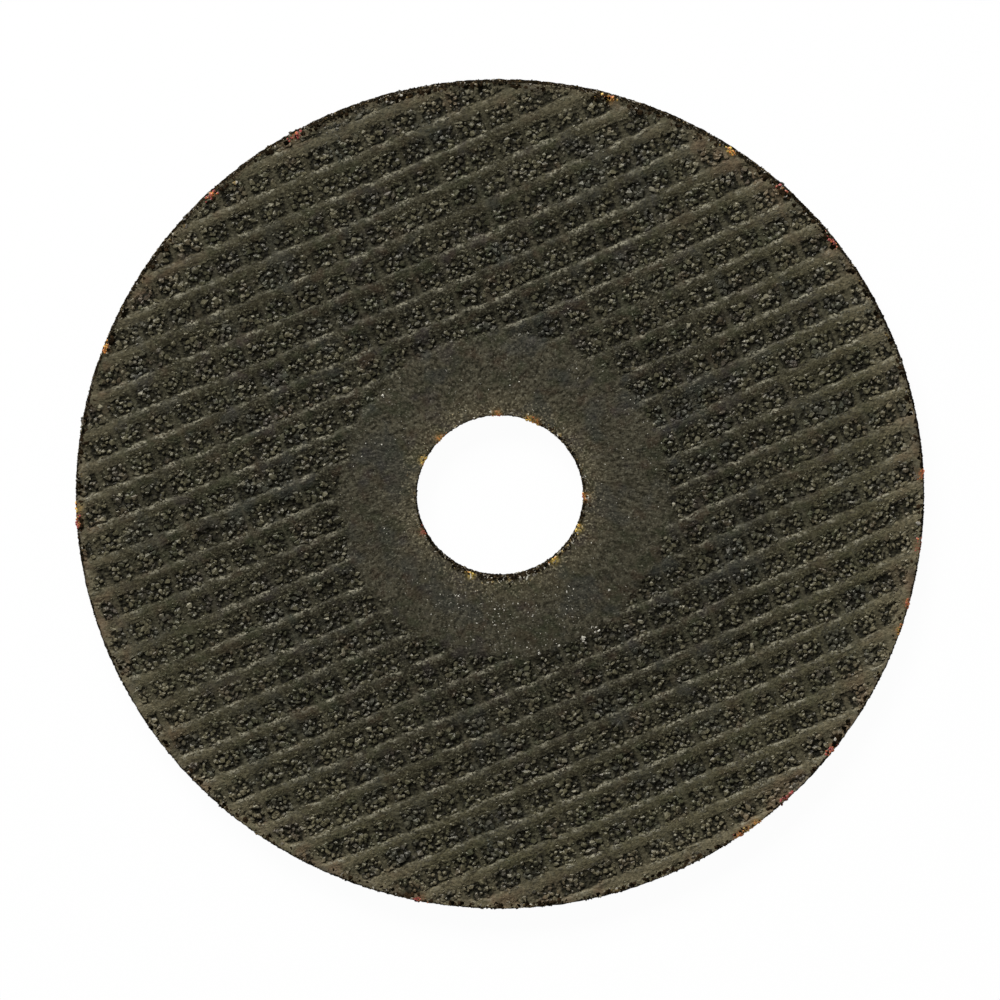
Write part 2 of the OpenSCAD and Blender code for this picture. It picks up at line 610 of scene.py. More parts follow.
def face_points():
    """Points of one face: lines along the yarns, and rings at the bore, the hub ring and the rim."""
    steps = np.arange(STEEP_STEPS) * WEFT_PITCH / STEEP_STEPS
    net = np.concatenate([crossings(STEEP_LINES, steps), crossings(GENTLE_LINES, WEFT_LINES)])
    net = net + wander(net)
    from_hub = np.hypot(*(net - HUB_SHIFT).T)
    from_axis = np.hypot(*net.T)
    net = net[(from_hub > HUB_R + HUB_GAP) & (from_axis < WHEEL_R - EDGE_BEVEL_W - BEVEL_GAP)]
    hub_edge = [ring(HUB_R + gap, HUB_STEPS) + HUB_SHIFT for gap in HUB_EDGE_RINGS]
    hub = [ring(BORE_R + gap, BORE_STEPS // 2) for gap in HUB_RINGS]
    bore = [ring(BORE_R + gap, BORE_STEPS) for gap in BORE_RINGS]
    rim = [ring(WHEEL_R - EDGE_BEVEL_W, RIM_STEPS), ring(WHEEL_R, RIM_STEPS)]
    return np.concatenate([net, *hub_edge, *hub, *bore, *rim])


def select_only(piece):
    """Makes one object the selected and active one."""
    bpy.ops.object.select_all(action="DESELECT")
    piece.select_set(True)
    bpy.context.view_layer.objects.active = piece


def places(mesh):
    """The mesh's points as an array, in millimetres."""
    co = np.empty(len(mesh.vertices) * 3, np.float32)
    mesh.vertices.foreach_get("co", co)
    return co.reshape(-1, 3).astype(float) / MM


def set_places(mesh, points):
    """Writes an array of points, in millimetres, to the mesh."""
    mesh.vertices.foreach_set("co", (points * MM).astype(np.float32).ravel())
    mesh.update()


def set_attribute(mesh, name, values):
    """Stores one number for each point, for a material to read."""
    layer = mesh.attributes.new(name, "FLOAT", "POINT")
    layer.data.foreach_set("value", np.asarray(values, np.float32))


def new_piece(name, mesh):
    """An object for a mesh, linked to the scene."""
    piece = bpy.data.objects.new(name, mesh)
    bpy.context.scene.collection.objects.link(piece)
    return piece


def bridge_rings(piece, chosen):
    """Joins the open rings of both faces that the test chooses by a wall with some rows."""
    select_only(piece)
    bpy.ops.object.mode_set(mode="EDIT")
    bpy.ops.mesh.select_mode(type="EDGE")
    bpy.ops.mesh.select_all(action="DESELECT")
    bpy.ops.object.mode_set(mode="OBJECT")
    radius = np.hypot(*places(piece.data)[:, :2].T)
    for edge in piece.data.edges:
        edge.select = bool(chosen(radius[edge.vertices[0]]) and chosen(radius[edge.vertices[1]]))
    bpy.ops.object.mode_set(mode="EDIT")
    bpy.ops.mesh.bridge_edge_loops(number_cuts=WALL_ROWS, interpolation="LINEAR")
    bpy.ops.object.mode_set(mode="OBJECT")


def make_face():
    """One face of the pressed disc with the net's relief, above the middle of the wheel's thickness."""
    points = [Vector(p) for p in face_points()]
    corners, _, faces, *_ = geometry.delaunay_2d_cdt(points, [], [], 0, MESH_TOLERANCE)
    xy = np.array([tuple(c) for c in corners])
    radius = np.hypot(*xy.T)
    kept = [f for f in faces if max(radius[list(f)]) > BORE_R + WELD]
    height = relief(xy) - bevel_drop(radius)
    mesh = bpy.data.meshes.new("pressed_disc")
    mesh.from_pydata([(x, y, z) for (x, y), z in zip(xy * MM, height * MM)], [], kept)
    face = new_piece("pressed_disc", mesh)
    select_only(face)
    bpy.ops.object.mode_set(mode="EDIT")
    bpy.ops.mesh.select_all(action="SELECT")
    bpy.ops.mesh.delete_loose()
    bpy.ops.object.mode_set(mode="OBJECT")
    return face


def make_wheel():
    """The pressed disc: two faces with the net's relief, joined by the cutting edge and the bore's wall."""
    wheel = make_face()
    mirror = wheel.modifiers.new("second_face", "MIRROR")
    mirror.use_axis = (False, False, True)
    mirror.use_mirror_merge = False
    bpy.ops.object.modifier_apply(modifier=mirror.name)
    bridge_rings(wheel, lambda r: r > WHEEL_R - WELD)
    bridge_rings(wheel, lambda r: r < BORE_R + WELD)
    bpy.ops.object.mode_set(mode="EDIT")
    bpy.ops.mesh.select_all(action="SELECT")
    bpy.ops.mesh.quads_convert_to_tris()
    bpy.ops.mesh.normals_make_consistent(inside=False)
    bpy.ops.object.mode_set(mode="OBJECT")
    points, radius = roughen_walls(wheel.data)
    mark_zones(wheel.data, points, radius)
    bpy.ops.object.shade_smooth_by_angle(angle=SMOOTH_ANGLE)
    return wheel


def roughen_walls(mesh):
    """Breaks up the cutting edge and the bore's wall, and sets the wheel on its lower face.

    Gives the moved points, and the radius that each of them had before.
    """
    co = places(mesh)
    radius = np.hypot(co[:, 0], co[:, 1])
    turn = np.arctan2(co[:, 1], co[:, 0])
    outer = radius > WHEEL_R - WALL_BAND
    inner = radius < BORE_R + WALL_BAND
    height, size = WALL_GRIT
    grit = drift(turn * WHEEL_R + GRIT_SHIFT[0], co[:, 2] + GRIT_SHIFT[1], size, Seed.WALL_GRIT)
    shift = (WALL_INSET + height * grit) * (inner * 1.0 - outer * 1.0)
    co[:, :2] *= (1 + shift / radius)[:, None]
    co[:, 2] += WHEEL_T / 2
    set_places(mesh, co)
    return co, radius


def mark_zones(mesh, points, radius):
    """Stores what the resin's finish has to know of each point."""
    xy = points[:, :2].copy()
    worn_highlight, unworn_lip_shade = lip_masks(xy)
    crest, weft = weft_masks(xy)
    wall = (radius > WHEEL_R - WALL_BAND) | (radius < BORE_R + WALL_BAND)
    strength, hues = stains(xy)
    near_top = smooth_step(points[:, 2], WHEEL_T - STAIN_DEPTH[0], WHEEL_T - STAIN_DEPTH[1])
    zones = {
        "cell": cell_mask(xy) * net_mask(xy),
        "hub": hub_mask(xy),
        "rim": rim_mask(xy),
        # The lip's worn stretches carry a painted highlight, and its other stretches (gap) painted shade
        "lip": worn_highlight,
        "gap": unworn_lip_shade,
        "crest": crest,
        "weft": weft,
        "wall": wall,
        "edge": dark_edges(xy, radius),
        "stain": strength * near_top,
        "stain_hue": hues,
    }
    for name, values in zones.items():
        set_attribute(mesh, name, values)


def model_grain():
    """One crushed grain at unit size: a lump of sixteen faces, its upper ring turned against the lower."""
    bpy.ops.object.select_all(action="DESELECT")
    bpy.ops.mesh.primitive_uv_sphere_add(segments=GRAIN_SIDES, ring_count=GRAIN_RINGS, radius=GRAIN_R)
    grain = bpy.context.object
    bpy.ops.object.mode_set(mode="EDIT")
    bpy.ops.mesh.select_all(action="DESELECT")
    bpy.ops.object.mode_set(mode="OBJECT")
    for corner in grain.data.vertices:
        corner.select = GRAIN_UPPER_RING[0] < corner.co.z < GRAIN_UPPER_RING[1]
    bpy.ops.object.mode_set(mode="EDIT")
    half_side = math.radians(180 / GRAIN_SIDES)
    bpy.ops.transform.rotate(value=half_side, orient_axis="Z", center_override=(0, 0, 0))
    bpy.ops.mesh.select_all(action="SELECT")
    bpy.ops.mesh.quads_convert_to_tris()
    bpy.ops.object.mode_set(mode="OBJECT")
    return grain


def random_turns(rng, count):
    """One random rotation matrix for each copy."""
    q = rng.normal(size=(count, 4))
    w, x, y, z = (q / np.linalg.norm(q, axis=1, keepdims=True)).T
    rows = [
        [1 - 2 * (y * y + z * z), 2 * (x * y - w * z), 2 * (x * z + w * y)],
        [2 * (x * y + w * z), 1 - 2 * (x * x + z * z), 2 * (y * z - w * x)],
        [2 * (x * z - w * y), 2 * (y * z + w * x), 1 - 2 * (x * x + y * y)],
    ]
    return np.array(rows).transpose(2, 0, 1)


def copy_grains(name, grain, centres, sizes, tones, rng, flatness=1.0):
    """Copies of the modelled grain, each with its own turn, proportions, dents and tone, as one piece."""
    corners = places(grain.data) * MM
    faces = np.array([tuple(p.vertices) for p in grain.data.polygons])
    count = len(centres)
    stretch = rng.uniform(*GRAIN_STRETCH, (count, 1, 3)) * sizes[:, None, None]
    dents = rng.uniform(*GRAIN_DENTS, (count, len(corners), 1))
    co = np.einsum("nij,nkj->nki", random_turns(rng, count), corners[None] * stretch * dents)
    co = co * (1, 1, flatness) + centres[:, None]
    co[..., 2] = np.clip(co[..., 2], 0, WHEEL_T)
    steps = np.arange(count)[:, None, None] * len(corners)
    mesh = bpy.data.meshes.new(name)
    mesh.from_pydata((co * MM).reshape(-1, 3), [], (faces[None] + steps).reshape(-1, 3))
    set_attribute(mesh, "tone", np.repeat(tones, len(corners)))
    return new_piece(name, mesh)


def scattered(half, spacing, rng):
    """Points about a spacing apart that cover a square unevenly."""
    row = spacing * math.sqrt(3) / 2
    i, j = np.meshgrid(np.arange(-half, half, spacing), np.arange(-half, half, row))
    i = i + spacing / 2 * (np.round(j / row) % 2)
    grid = np.stack([i.ravel(), j.ravel()], 1)
    return grid + rng.uniform(-SCATTER, SCATTER, grid.shape) * spacing


def grain_tones(rng, count):
    """Most grains are as dark as the resin on them, and a few are bare and bright."""
    return np.clip(rng.beta(*TONE_SPREAD, count) * TONE_GAIN, 0, 1)


def cut_tones(rng, count, bare, brightest):
    """Cut grain is dark, with the given share of it bare and pale, partly as painted glints, up to the given
    brightness.
    """
    chosen = rng.uniform(0, 1, count) < bare
    bright = rng.uniform(BARE_TONE, brightest, count)
    return np.where(chosen, bright, rng.uniform(0, DARK_TONE, count))


def make_coarse_grain(grain):
    """The coarse grain that fills the open cells of the upper face."""
    rng = np.random.default_rng(Seed.COARSE_GRAIN)
    xy = scattered(WHEEL_R, COARSE_SPACING, rng)
    sizes = rng.uniform(*COARSE_SIZE, len(xy))
    covered = np.maximum(hub_mask(xy), rim_mask(xy))
    chosen = rng.uniform(0, 1, len(xy)) < COARSE_SHARE
    kept = (inside_cell(xy) > COARSE_CLEAR * sizes) & (covered < COARSE_COVER) & chosen
    return bed_grains("grain_upper_coarse", grain, xy[kept], sizes[kept], COARSE_SINK, rng)


def make_fine_grain(grain):
    """The fine grain that frays the edges of the cells."""
    rng = np.random.default_rng(Seed.FINE_GRAIN)
    xy = scattered(WHEEL_R, FINE_SPACING, rng)
    sizes = rng.uniform(*FINE_SIZE, len(xy))
    covered = np.maximum(hub_mask(xy), rim_mask(xy))
    chance = rng.uniform(0, 1, len(xy))
    at_cell = (np.abs(inside_cell(xy) - FINE_SHIFT) < FINE_REACH) & (chance < FINE_SHARE)
    on_lip = (lip_masks(xy)[0] > LIP_STRENGTH) & (chance < LIP_SHARE)
    kept = (at_cell | on_lip) & (covered < FINE_COVER)
    return bed_grains("grain_upper_fine", grain, xy[kept], sizes[kept], FINE_SINK, rng)


def bed_grains(name, grain, xy, sizes, sink, rng):
    """Copies of the grain bedded in the upper face, none of them higher than the yarns."""
    height = WHEEL_T / 2 + relief(xy) + rng.uniform(*sink, len(xy))
    height = np.minimum(height, WHEEL_T - GRAIN_TOP * GRAIN_FLATNESS * sizes)
    centres = np.column_stack([xy, height])
    return copy_grains(name, grain, centres, sizes, grain_tones(rng, len(xy)), rng, GRAIN_FLATNESS)


def make_second_face_grain(upper):
    """The same grain on the lower face, as a mirror image with a mesh of its own."""
    mesh = upper.data.copy()
    mesh.transform(Matrix.Translation((0, 0, WHEEL_T * MM)) @ Matrix.Diagonal((1, 1, -1, 1)))
    mesh.flip_normals()
    return new_piece(upper.name.replace("upper", "lower"), mesh)


def make_wall_grain(name, grain, radius, inward, bare, seed):
    """Grain that stands out of the cutting edge or into the bore."""
    rng = np.random.default_rng(seed)
    around = np.arange(0, 2 * np.pi * radius, WALL_SPACING)
    up = np.arange(WALL_FIRST_ROW, WHEEL_T - WALL_LAST_ROW, WALL_SPACING)
    a, z = (g.ravel() for g in np.meshgrid(around, up))
    a = a + rng.uniform(-WALL_JITTER, WALL_JITTER, len(a))
    z = np.clip(z + rng.uniform(-WALL_JITTER, WALL_JITTER, len(a)), WALL_CLEAR, WHEEL_T - WALL_CLEAR)
    sizes = rng.uniform(*WALL_SIZE, len(a))
    middle = WHEEL_T / 2
    near_face = smooth_step(np.abs(z - middle), middle - WALL_NEAR_FACE[0], middle - WALL_NEAR_FACE[1])
    sizes = sizes * (1 - WALL_SHRINK * near_face)
    depth = WALL_DEPTH * sizes + WALL_FACE_INSET * near_face + rng.uniform(0, WALL_UNEVEN, len(a))
    r = radius + inward * depth
    xy = np.column_stack([r * np.cos(a / radius), r * np.sin(a / radius)])
    bare = bare + waves(xy, *BARE_PATCHES, Seed.BARE_PATCHES)
    tones = cut_tones(rng, len(a), bare, WALL_BRIGHTEST)
    return copy_grains(name, grain, np.column_stack([xy, z]), sizes, tones, rng)


def make_amber_crumbs(grain):
    """Crumbs of stained glass and resin at the cut yarn ends."""
    rng = np.random.default_rng(Seed.CRUMBS)
    ends = [(*middle, hue) for middle, hue in yarn_ends() for _ in range(CRUMBS_PER_END)]
    x, y, hue = np.array(ends).T
    outwards, sideways = rng.normal(0, 1, (2, len(x)))
    radius = np.hypot(x, y) + CRUMB_SPREAD[0] * outwards
    radius = np.clip(radius, BORE_R + CRUMB_BORE_CLEAR, WHEEL_R - CRUMB_RIM_CLEAR)
    turn = np.arctan2(y, x) + CRUMB_SPREAD[1] * sideways / radius
    sizes = rng.uniform(*CRUMB_SIZE, len(x))
    xy = np.column_stack([radius * np.cos(turn), radius * np.sin(turn)])
    drop = bevel_drop(radius) + CRUMB_CELL_DROP * cell_mask(xy) * net_mask(xy)
    centres = np.column_stack([xy, WHEEL_T - drop - CRUMB_SINK * sizes])
    tones = np.clip(hue + rng.normal(0, CRUMB_HUE_SPREAD, len(x)), 0, 1)
    return copy_grains("amber_crumbs", grain, centres, sizes, tones, rng, CRUMB_FLATNESS)


def make_chips(name, grain, clocks, radius, reach, size, bare, rng):
    """Broken grain, dark and pale, the pale partly as painted glints, on both edges of a wall, reaching in
    over the faces.
    """
    sizes = rng.uniform(*size, len(clocks))
    scatter = np.minimum(rng.exponential(CHIP_SCATTER, len(clocks)), CHIP_SCATTER_LIMIT)
    away = np.copysign(CHIP_INSET * sizes + scatter * abs(reach), reach)
    xy = np.array([clock_point(clock, radius + gap) for clock, gap in zip(clocks, away)])
    bevel = bevel_drop(np.hypot(*xy.T))
    upper = rng.uniform(0, 1, len(xy)) < CHIPS_ABOVE
    height = np.where(upper, WHEEL_T - bevel - CHIP_SINK_ABOVE * sizes, bevel + CHIP_SINK_BELOW * sizes)
    tones = cut_tones(rng, len(xy), *bare)
    return copy_grains(name, grain, np.column_stack([xy, height]), sizes, tones, rng, CRUMB_FLATNESS)


def make_bore_chips(grain):
    """Chips all round the bore, most of them in one stretch."""
    rng = np.random.default_rng(Seed.BORE_CHIPS)
    gathered = rng.uniform(*CHIPPED_STRETCH, CHIPS_IN_STRETCH)
    clocks = np.concatenate([gathered, rng.uniform(0, 360, CHIPS_AT_BORE)])
    return make_chips(
        "chips_bore", grain, clocks, BORE_R, BORE_CHIP_REACH, BORE_CHIP_SIZE, BORE_CHIP_BARE, rng
    )


def make_rim_chips(grain):
    """Chips in clusters round the cutting edge."""
    rng = np.random.default_rng(Seed.RIM_CHIPS)
    clocks = rng.uniform(0, 360, CHIPS_AT_RIM)
    along = np.column_stack([np.radians(clocks) * WHEEL_R, np.zeros(len(clocks))])
    crowded = waves(along, *CHIP_CLUSTERS, Seed.CHIP_CLUSTERS)
    crowded = crowded + waves(along, *CHIP_WIDE_CLUSTERS, Seed.CHIP_WIDE_CLUSTERS)
    clocks = clocks[crowded > rng.uniform(*CHIP_THINNING, len(clocks))]
    return make_chips(
        "chips_rim", grain, clocks, WHEEL_R, -RIM_CHIP_REACH, RIM_CHIP_SIZE, RIM_CHIP_BARE, rng
    )


def sparkle_places(rng):
    """Places in clusters on the hub ring, most of them in one stretch."""
    radius = rng.uniform(BORE_R + SPARKLE_CLUSTER_CLEAR, HUB_R, SPARKLE_CLUSTERS)
    gathered = rng.uniform(0, 1, SPARKLE_CLUSTERS) < SPARKLE_STRETCH_SHARE
    stretch = rng.uniform(*SPARKLE_STRETCH, SPARKLE_CLUSTERS)
    clocks = np.where(gathered, stretch, rng.uniform(0, 360, SPARKLE_CLUSTERS))
    middles = np.array([clock_point(*place) for place in zip(clocks, radius)])
    chosen = middles[rng.integers(0, SPARKLE_CLUSTERS, SPARKLES)]
    xy = chosen + rng.normal(0, SPARKLE_CLUSTER_SIZE, (SPARKLES, 2))
    return xy[(np.hypot(*xy.T) > BORE_R + SPARKLE_CLEAR) & (hub_mask(xy) > SPARKLE_COVER)]


def make_sparkles(grain):
    """Small bare grain on both faces of the hub ring, pale enough to paint sparkling glints, with the pale
    flakes at its edge.
    """
    rng = np.random.default_rng(Seed.SPARKLES)
    xy = sparkle_places(rng)
    smallest, largest = SPARKLE_SIZE
    sizes = smallest + (largest - smallest) * rng.uniform(0, 1, len(xy)) ** SPARKLE_RARITY
    flakes = np.repeat([clock_point(*place) for place in HUB_FLAKES], GRAINS_PER_FLAKE, 0)
    above = np.repeat((SPARKLES_ABOVE, 1), (len(xy), len(flakes)))
    xy = np.concatenate([xy, flakes + rng.normal(0, FLAKE_SPREAD, flakes.shape)])
    sizes = np.concatenate([sizes, rng.uniform(*FLAKE_GRAIN_SIZE, len(flakes))])
    upper = rng.uniform(0, 1, len(xy)) < above
    height = np.where(upper, WHEEL_T - SPARKLE_SINK_ABOVE * sizes, SPARKLE_SINK_BELOW * sizes)
    tones = rng.uniform(*SPARKLE_TONES, len(xy))
    centres = np.column_stack([xy, height])
    return copy_grains("hub_sparkles", grain, centres, sizes, tones, rng, CRUMB_FLATNESS)


class Value:
    """A shader socket that takes part in sums as a number does."""

    def __init__(self, finish, socket):
        self.finish = finish
        self.socket = socket

    def math(self, operation, *others):
        """A Math node on this value and others."""
        return self.finish.node("ShaderNodeMath", {"operation": operation}, dict(enumerate((self, *others))))

    def __add__(self, other):
        return self.math("ADD", other)

    def __sub__(self, other):
        return self.math("SUBTRACT", other)

    def __rsub__(self, other):
        return self.finish.node("ShaderNodeMath", {"operation": "SUBTRACT"}, {0: other, 1: self})

    def __mul__(self, other):
        return self.math("MULTIPLY", other)

    __radd__ = __add__
    __rmul__ = __mul__


class Finish:
    """A procedural material with a Principled shader."""

    def __init__(self, name):
        self.material = bpy.data.materials.new(name)
        self.material.use_nodes = True
        self.tree = self.material.node_tree
        self.shader = self.tree.nodes["Principled BSDF"]

    def node(self, kind, settings=None, inputs=None, output=0):
        """Adds a node, sets it up, fills its sockets with numbers or links, and gives one of its outputs."""
        made = self.tree.nodes.new(kind)
        for key, setting in (settings or {}).items():
            setattr(made, key, setting)
        for key, value in (inputs or {}).items():
            self.feed(made.inputs[key], value)
        return Value(self, made.outputs[output])

    def feed(self, socket, value):
        """Links a value to a socket, or sets the socket to a number or colour."""
        if isinstance(value, Value):
            self.tree.links.new(value.socket, socket)
        else:
            socket.default_value = value

    def place(self, turn=0.0, stretch=(1, 1, 1)):
        """Object coordinates in millimetres, turned and stretched."""
        spot = self.node("ShaderNodeTexCoord", output="Object")
        scale = tuple(s / MM for s in stretch)
        turned = self.node(
            "ShaderNodeMapping", {"vector_type": "POINT"}, {"Vector": spot, "Rotation": (0, 0, turn)}
        )
        return self.node("ShaderNodeVectorMath", {"operation": "MULTIPLY"}, {0: turned, 1: scale})

    def from_middle(self, place):
        """Distance from the origin, which for a point of a face is its radius."""
        return self.node("ShaderNodeVectorMath", {"operation": "LENGTH"}, {0: place}, "Value")

    def along(self, place, axis):
        """One of the coordinates X, Y and Z."""
        return self.node("ShaderNodeSeparateXYZ", None, {0: place}, axis)

    def noise(self, place, size, detail=3.0, rough=0.55):
        """Cloudy noise from 0 to 1 with features of the given size in millimetres."""
        inputs = {"Vector": place, "Scale": 1 / size, "Detail": detail, "Roughness": rough}
        return self.node("ShaderNodeTexNoise", None, inputs)

    def band(self, value, start, end):
        """A soft rise from 0 at start to 1 at end."""
        return self.node(
            "ShaderNodeMapRange",
            {"interpolation_type": "SMOOTHSTEP"},
            {"Value": value, "From Min": start, "From Max": end},
        )

    def attribute(self, name):
        """What a mesh stores for each of its points."""
        return self.node("ShaderNodeAttribute", {"attribute_name": name}, output="Fac")

    def mix(self, share, first, second):
        """Blends two colours."""
        return self.node("ShaderNodeMix", {"data_type": "RGBA"}, {0: share, 6: first, 7: second}, output=2)

    def bump(self, height, depth, below=None):
        """A normal from a height, over an earlier bump where one is given."""
        inputs = {"Height": height, "Strength": 1.0, "Distance": depth * MM}
        if below is not None:
            inputs["Normal"] = below
        return self.node("ShaderNodeBump", None, inputs)

    def shine(self):
        """The Principled shader, to be mixed with another one."""
        return Value(self, self.shader.outputs[0])

    def surface(self, share, first, second):
        """Shows a mix of two shaders."""
        mixed = self.node("ShaderNodeMixShader", None, {0: share, 1: first, 2: second})
        self.feed(self.tree.nodes["Material Output"].inputs["Surface"], mixed)

    def finish(self, **sockets):
        """Feeds the Principled shader's sockets, and gives the material."""
        for name, value in sockets.items():
            self.feed(self.shader.inputs[name.replace("_", " ")], value)
        return self.material


def shade(*picture):
    """A linear colour from the three sRGB numbers that a picture shows."""
    shares = [c / 255 for c in picture]
    return (*(c / 12.92 if c <= 0.04045 else ((c + 0.055) / 1.055) ** 2.4 for c in shares), 1)


# Tint and strength of the sheen on the resin and on the coated grain
WARM_SHEEN = (1, 0.95, 0.82, 1)
RESIN_SHEEN = 0.22
GRAIN_SHEEN = 0.45

# The resin over the yarns
SKIN_DARK = shade(40, 38, 26)
SKIN_PALE = shade(49, 45, 32)
SKIN_STREAK = shade(66, 63, 48)
SKIN_PALE_FLECK = shade(96, 93, 76)
SKIN_DARK_LUMP = shade(24, 22, 14)
SKIN_DARK_FLECK = shade(16, 14, 9)
SKIN_PALE_LUMP = shade(82, 78, 61)
WEFT_DARK = shade(34, 33, 23)
WEFT_PALE = shade(76, 73, 58)
# Painted shade on the lip, and a painted highlight on its worn stretches
LIP_PAINTED_SHADE = shade(30, 28, 19)
LIP_WORN_HIGHLIGHT = shade(124, 120, 103)
LIP_DARK_FLECK = shade(28, 26, 18)

# The felted ring round the bore
FELT_DARK = shade(36, 34, 24)
FELT_PALE = shade(74, 70, 56)
FELT_LUMP = shade(80, 77, 62)
FELT_BLOTCH = shade(47, 43, 32)
FELT_WARM = shade(104, 94, 70)
FELT_DARK_FLECK = shade(21, 20, 13)
FELT_PALE_FLECK = shade(112, 109, 94)
FELT_BORE_FLECK = shade(136, 128, 104)

# The band at the rim, the cells' floors, darkened as painted shade, the worn edges and the walls
BAND_DARK = shade(74, 67, 52)
BAND_PALE = shade(116, 108, 88)
BAND_DARK_FLECK = shade(20, 18, 12)
BAND_PALE_FLECK = shade(154, 147, 128)
CELL_PAINTED_SHADE = shade(17, 16, 10)
CELL_PALE = shade(46, 44, 31)
EDGE_DARK = shade(11, 10, 6)
EDGE_PALE = shade(54, 46, 33)
WALL_DARK = shade(12, 11, 7)
WALL_PALE = shade(44, 37, 26)

# Dust, rust, stains and the faint tinges of the resin
DUST = shade(96, 91, 66)
RIM_DUST = shade(109, 101, 79)
RUST = shade(104, 75, 57)
STAIN_HALO = shade(112, 100, 54)
AMBER_RED = shade(138, 58, 54)
AMBER_ORANGE = shade(192, 116, 56)
AMBER_YELLOW = shade(212, 180, 88)
GREEN_TINGE = shade(44, 51, 33)
RED_TINGE = shade(62, 48, 37)
VIOLET_TINGE = shade(50, 44, 46)
GREY_TINGE = shade(47, 50, 49)

# Coated grain and cut grain
COATED_DARK = shade(50, 48, 33)
COATED_PALE = shade(83, 79, 60)
COATED_BARE = shade(140, 135, 114)
COATED_CHIP = shade(16, 15, 8)
# Painted shade for coated grain that lies deep between the yarns
COATED_PAINTED_SHADE = shade(15, 14, 8)
CUT_DARK = shade(8, 7, 4)
CUT_BROWN = shade(48, 38, 26)
# Bare cut grain, whose paleness partly paints glints
CUT_BARE_GLINT = shade(206, 202, 188)
CUT_STAINED = shade(158, 138, 92)


def dust(f, spot, colour):
    """Dust that makes the wheel paler towards its rim, more so towards one side, with rust at the rim."""
    radius = f.from_middle(spot)
    paler_side = f.band(f.along(spot, "X") - f.along(spot, "Y"), *PALER_SIDE)
    powder = 0.4 + 1.2 * f.band(f.noise(spot, POWDER_SIZE), 0.36, 0.64)
    rust = f.band(f.noise(f.place(RUST_TURN), RUST_SIZE, 2.0), 0.5, 0.64) * f.band(radius, *RUST_START)
    colour = f.mix(f.band(radius, *DUST_START) * (0.18 + 0.3 * paler_side) * powder, colour, DUST)
    colour = f.mix(f.band(radius, *RIM_DUST_START) * (0.3 + 0.36 * paler_side) * powder, colour, RIM_DUST)
    return f.mix(0.32 * rust, colour, RUST)


def amber(f, hue):
    """The colour of stained glass, from red to yellow."""
    colour = f.mix(f.band(hue, 0.05, 0.45), AMBER_RED, AMBER_ORANGE)
    return f.mix(f.band(hue, 0.5, 0.95), colour, AMBER_YELLOW)


def tinge(f, spot, colour, share):
    """Faint patches where the resin is greener, redder, darker or greyer."""
    green = f.band(f.noise(spot, GREEN_SIZE, 2.0), 0.5, 0.68) * share
    red = f.band(f.noise(f.place(RED_TURN), RED_SIZE, 2.0), 0.54, 0.7) * share
    grey = f.band(f.noise(f.place(GREY_TURN), GREY_SIZE, 2.0), 0.52, 0.66) * share
    violet = f.band(f.noise(f.place(VIOLET_TURN), VIOLET_SIZE, 2.0), 0.56, 0.7) * share
    colour = f.mix(green, colour, GREEN_TINGE)
    colour = f.mix(red, colour, RED_TINGE)
    colour = f.mix(violet, colour, VIOLET_TINGE)
    return f.mix(grey, colour, GREY_TINGE)


class ResinPatterns:
    """The noises that the zones of the pressed resin share."""

    def __init__(self, f):
        self.spot = f.place()
        self.radius = f.from_middle(self.spot)
        self.blotch = f.noise(self.spot, BLOTCH_SIZE)
        self.lumps = f.noise(self.spot, LUMP_SIZE, 2.0)
        self.streak = f.noise(f.place(-WARP_ANGLE, STREAK_STRETCH), STREAK_SIZE, 2.0)
        self.felt = f.noise(self.spot, FELT_SIZE, 3.0)
        self.fleck = f.noise(self.spot, FLECK_SIZE, 1.0)
        self.grit = f.noise(self.spot, GRIT_SIZE, 3.0)
        granules = {"Vector": self.spot, "Scale": GRANULES_PER_MM}
        self.granules = f.node("ShaderNodeTexVoronoi", {"feature": "F1"}, granules, "Distance")


def yarn_colour(f, pattern):
    """Streaky, flecked resin over the yarns, pale on the weft's crests, with a painted highlight on the worn
    stretches of the lips and painted shade on their other stretches.
    """
    lip, gap, crest, weft = (f.attribute(name) for name in ("lip", "gap", "crest", "weft"))
    colour = f.mix(f.band(pattern.blotch, 0.3, 0.7), SKIN_DARK, SKIN_PALE)
    colour = f.mix(f.band(pattern.streak, 0.42, 0.75) * 0.4, colour, SKIN_STREAK)
    colour = f.mix(f.band(pattern.fleck, 0.54, 0.7) * 0.85, colour, SKIN_PALE_FLECK)
    colour = f.mix(f.band(pattern.lumps, 0.48, 0.28) * 0.68, colour, SKIN_DARK_LUMP)
    colour = f.mix(f.band(pattern.fleck, 0.48, 0.31) * 0.97, colour, SKIN_DARK_FLECK)
    colour = tinge(f, pattern.spot, colour, 0.45)
    pale_lumps = f.band(pattern.radius, *PALE_LUMPS) * f.band(pattern.lumps, 0.35, 0.6)
    colour = f.mix(pale_lumps * 0.6, colour, SKIN_PALE_LUMP)
    colour = f.mix(weft * 0.5, dust(f, pattern.spot, colour), WEFT_DARK)
    colour = f.mix(crest * f.band(pattern.blotch, 0.35, 0.55) * 0.5, colour, WEFT_PALE)
    # Painted shade on the lip's unworn stretches, then a painted highlight on its worn ones
    colour = f.mix(gap * f.band(pattern.lumps, 0.35, 0.6) * 0.7, colour, LIP_PAINTED_SHADE)
    colour = f.mix(lip * f.band(pattern.felt, 0.4, 0.58), colour, LIP_WORN_HIGHLIGHT)
    return f.mix(lip * f.band(pattern.fleck, 0.49, 0.33) * 0.92, colour, LIP_DARK_FLECK)


